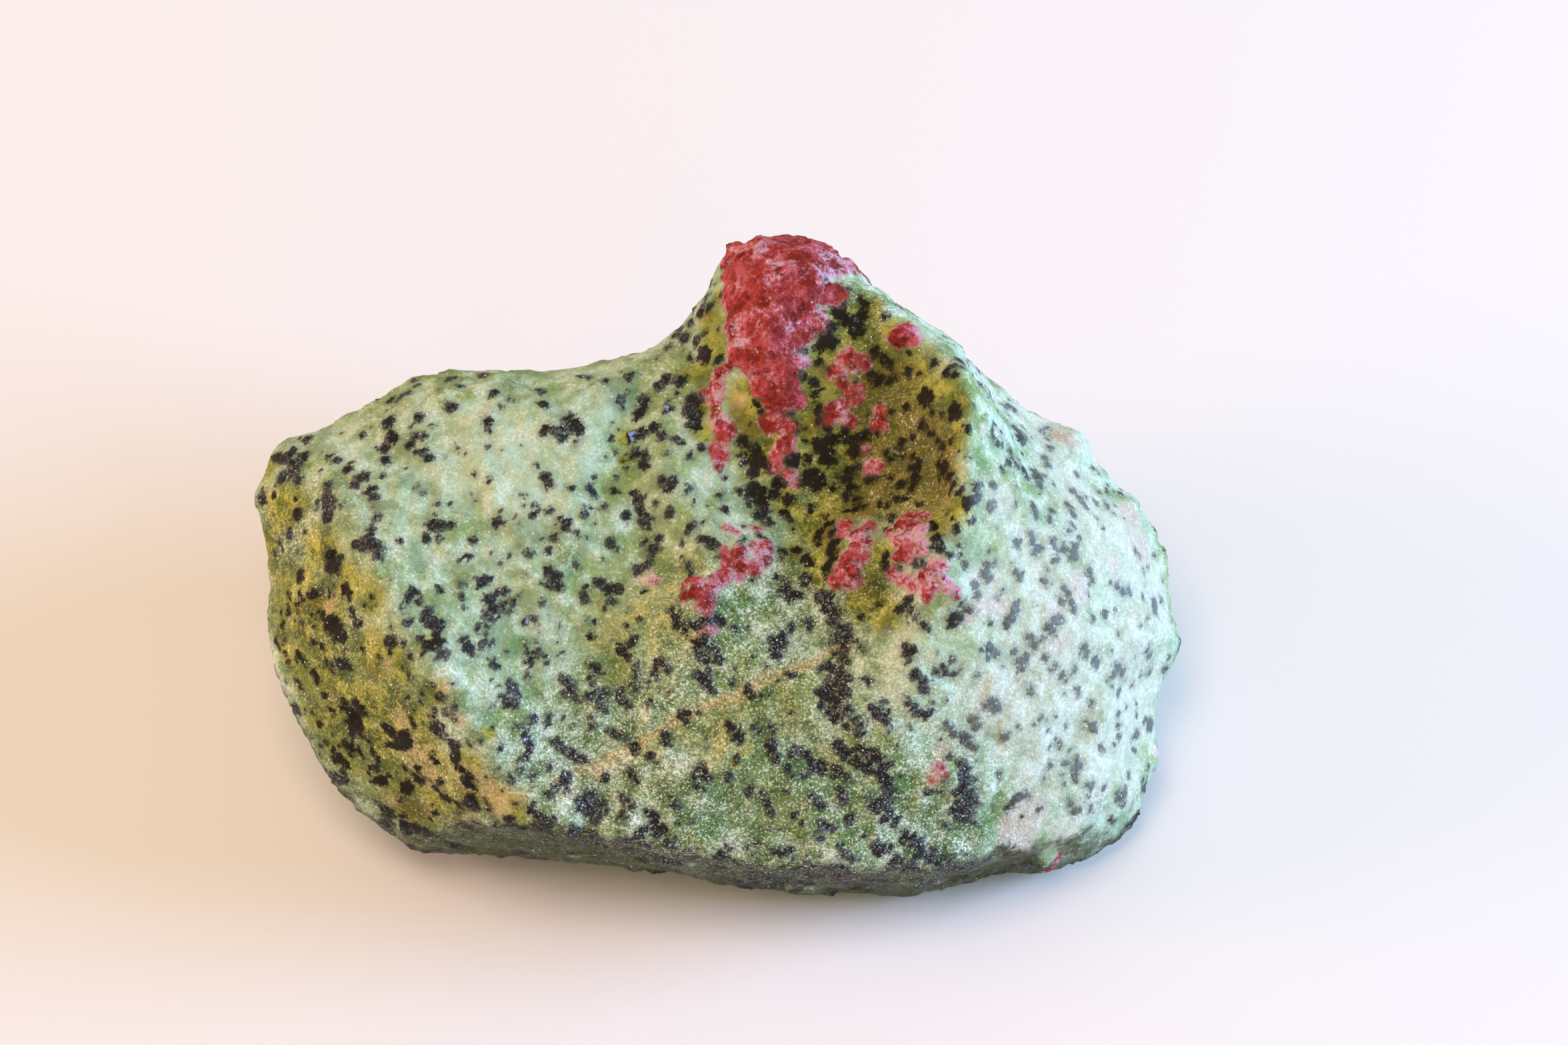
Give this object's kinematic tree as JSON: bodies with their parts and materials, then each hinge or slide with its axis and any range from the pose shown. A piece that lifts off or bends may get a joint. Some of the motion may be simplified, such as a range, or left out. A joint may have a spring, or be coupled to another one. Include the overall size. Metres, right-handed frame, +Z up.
{
  "type": "ruby in zoisite specimen",
  "caption": "Rough hand specimen of green zoisite with raised crusts of ruby and a high peak at the back, lying on a flat underside.",
  "frame": {"origin": "on the surface that the stone stands on, under the middle of its box", "axes": "+Z up, +X to the right along the stone's length, +Y to the back, where the peak is"},
  "size_m": [0.101, 0.0658, 0.0434],
  "materials": {
    "zoisite": "rough, sugary broken rock with dark spots and dull red ruby"
  },
  "bodies": {
    "root": {"ruby_in_zoisite_stone": "zoisite"}
  },
  "joints": []
}
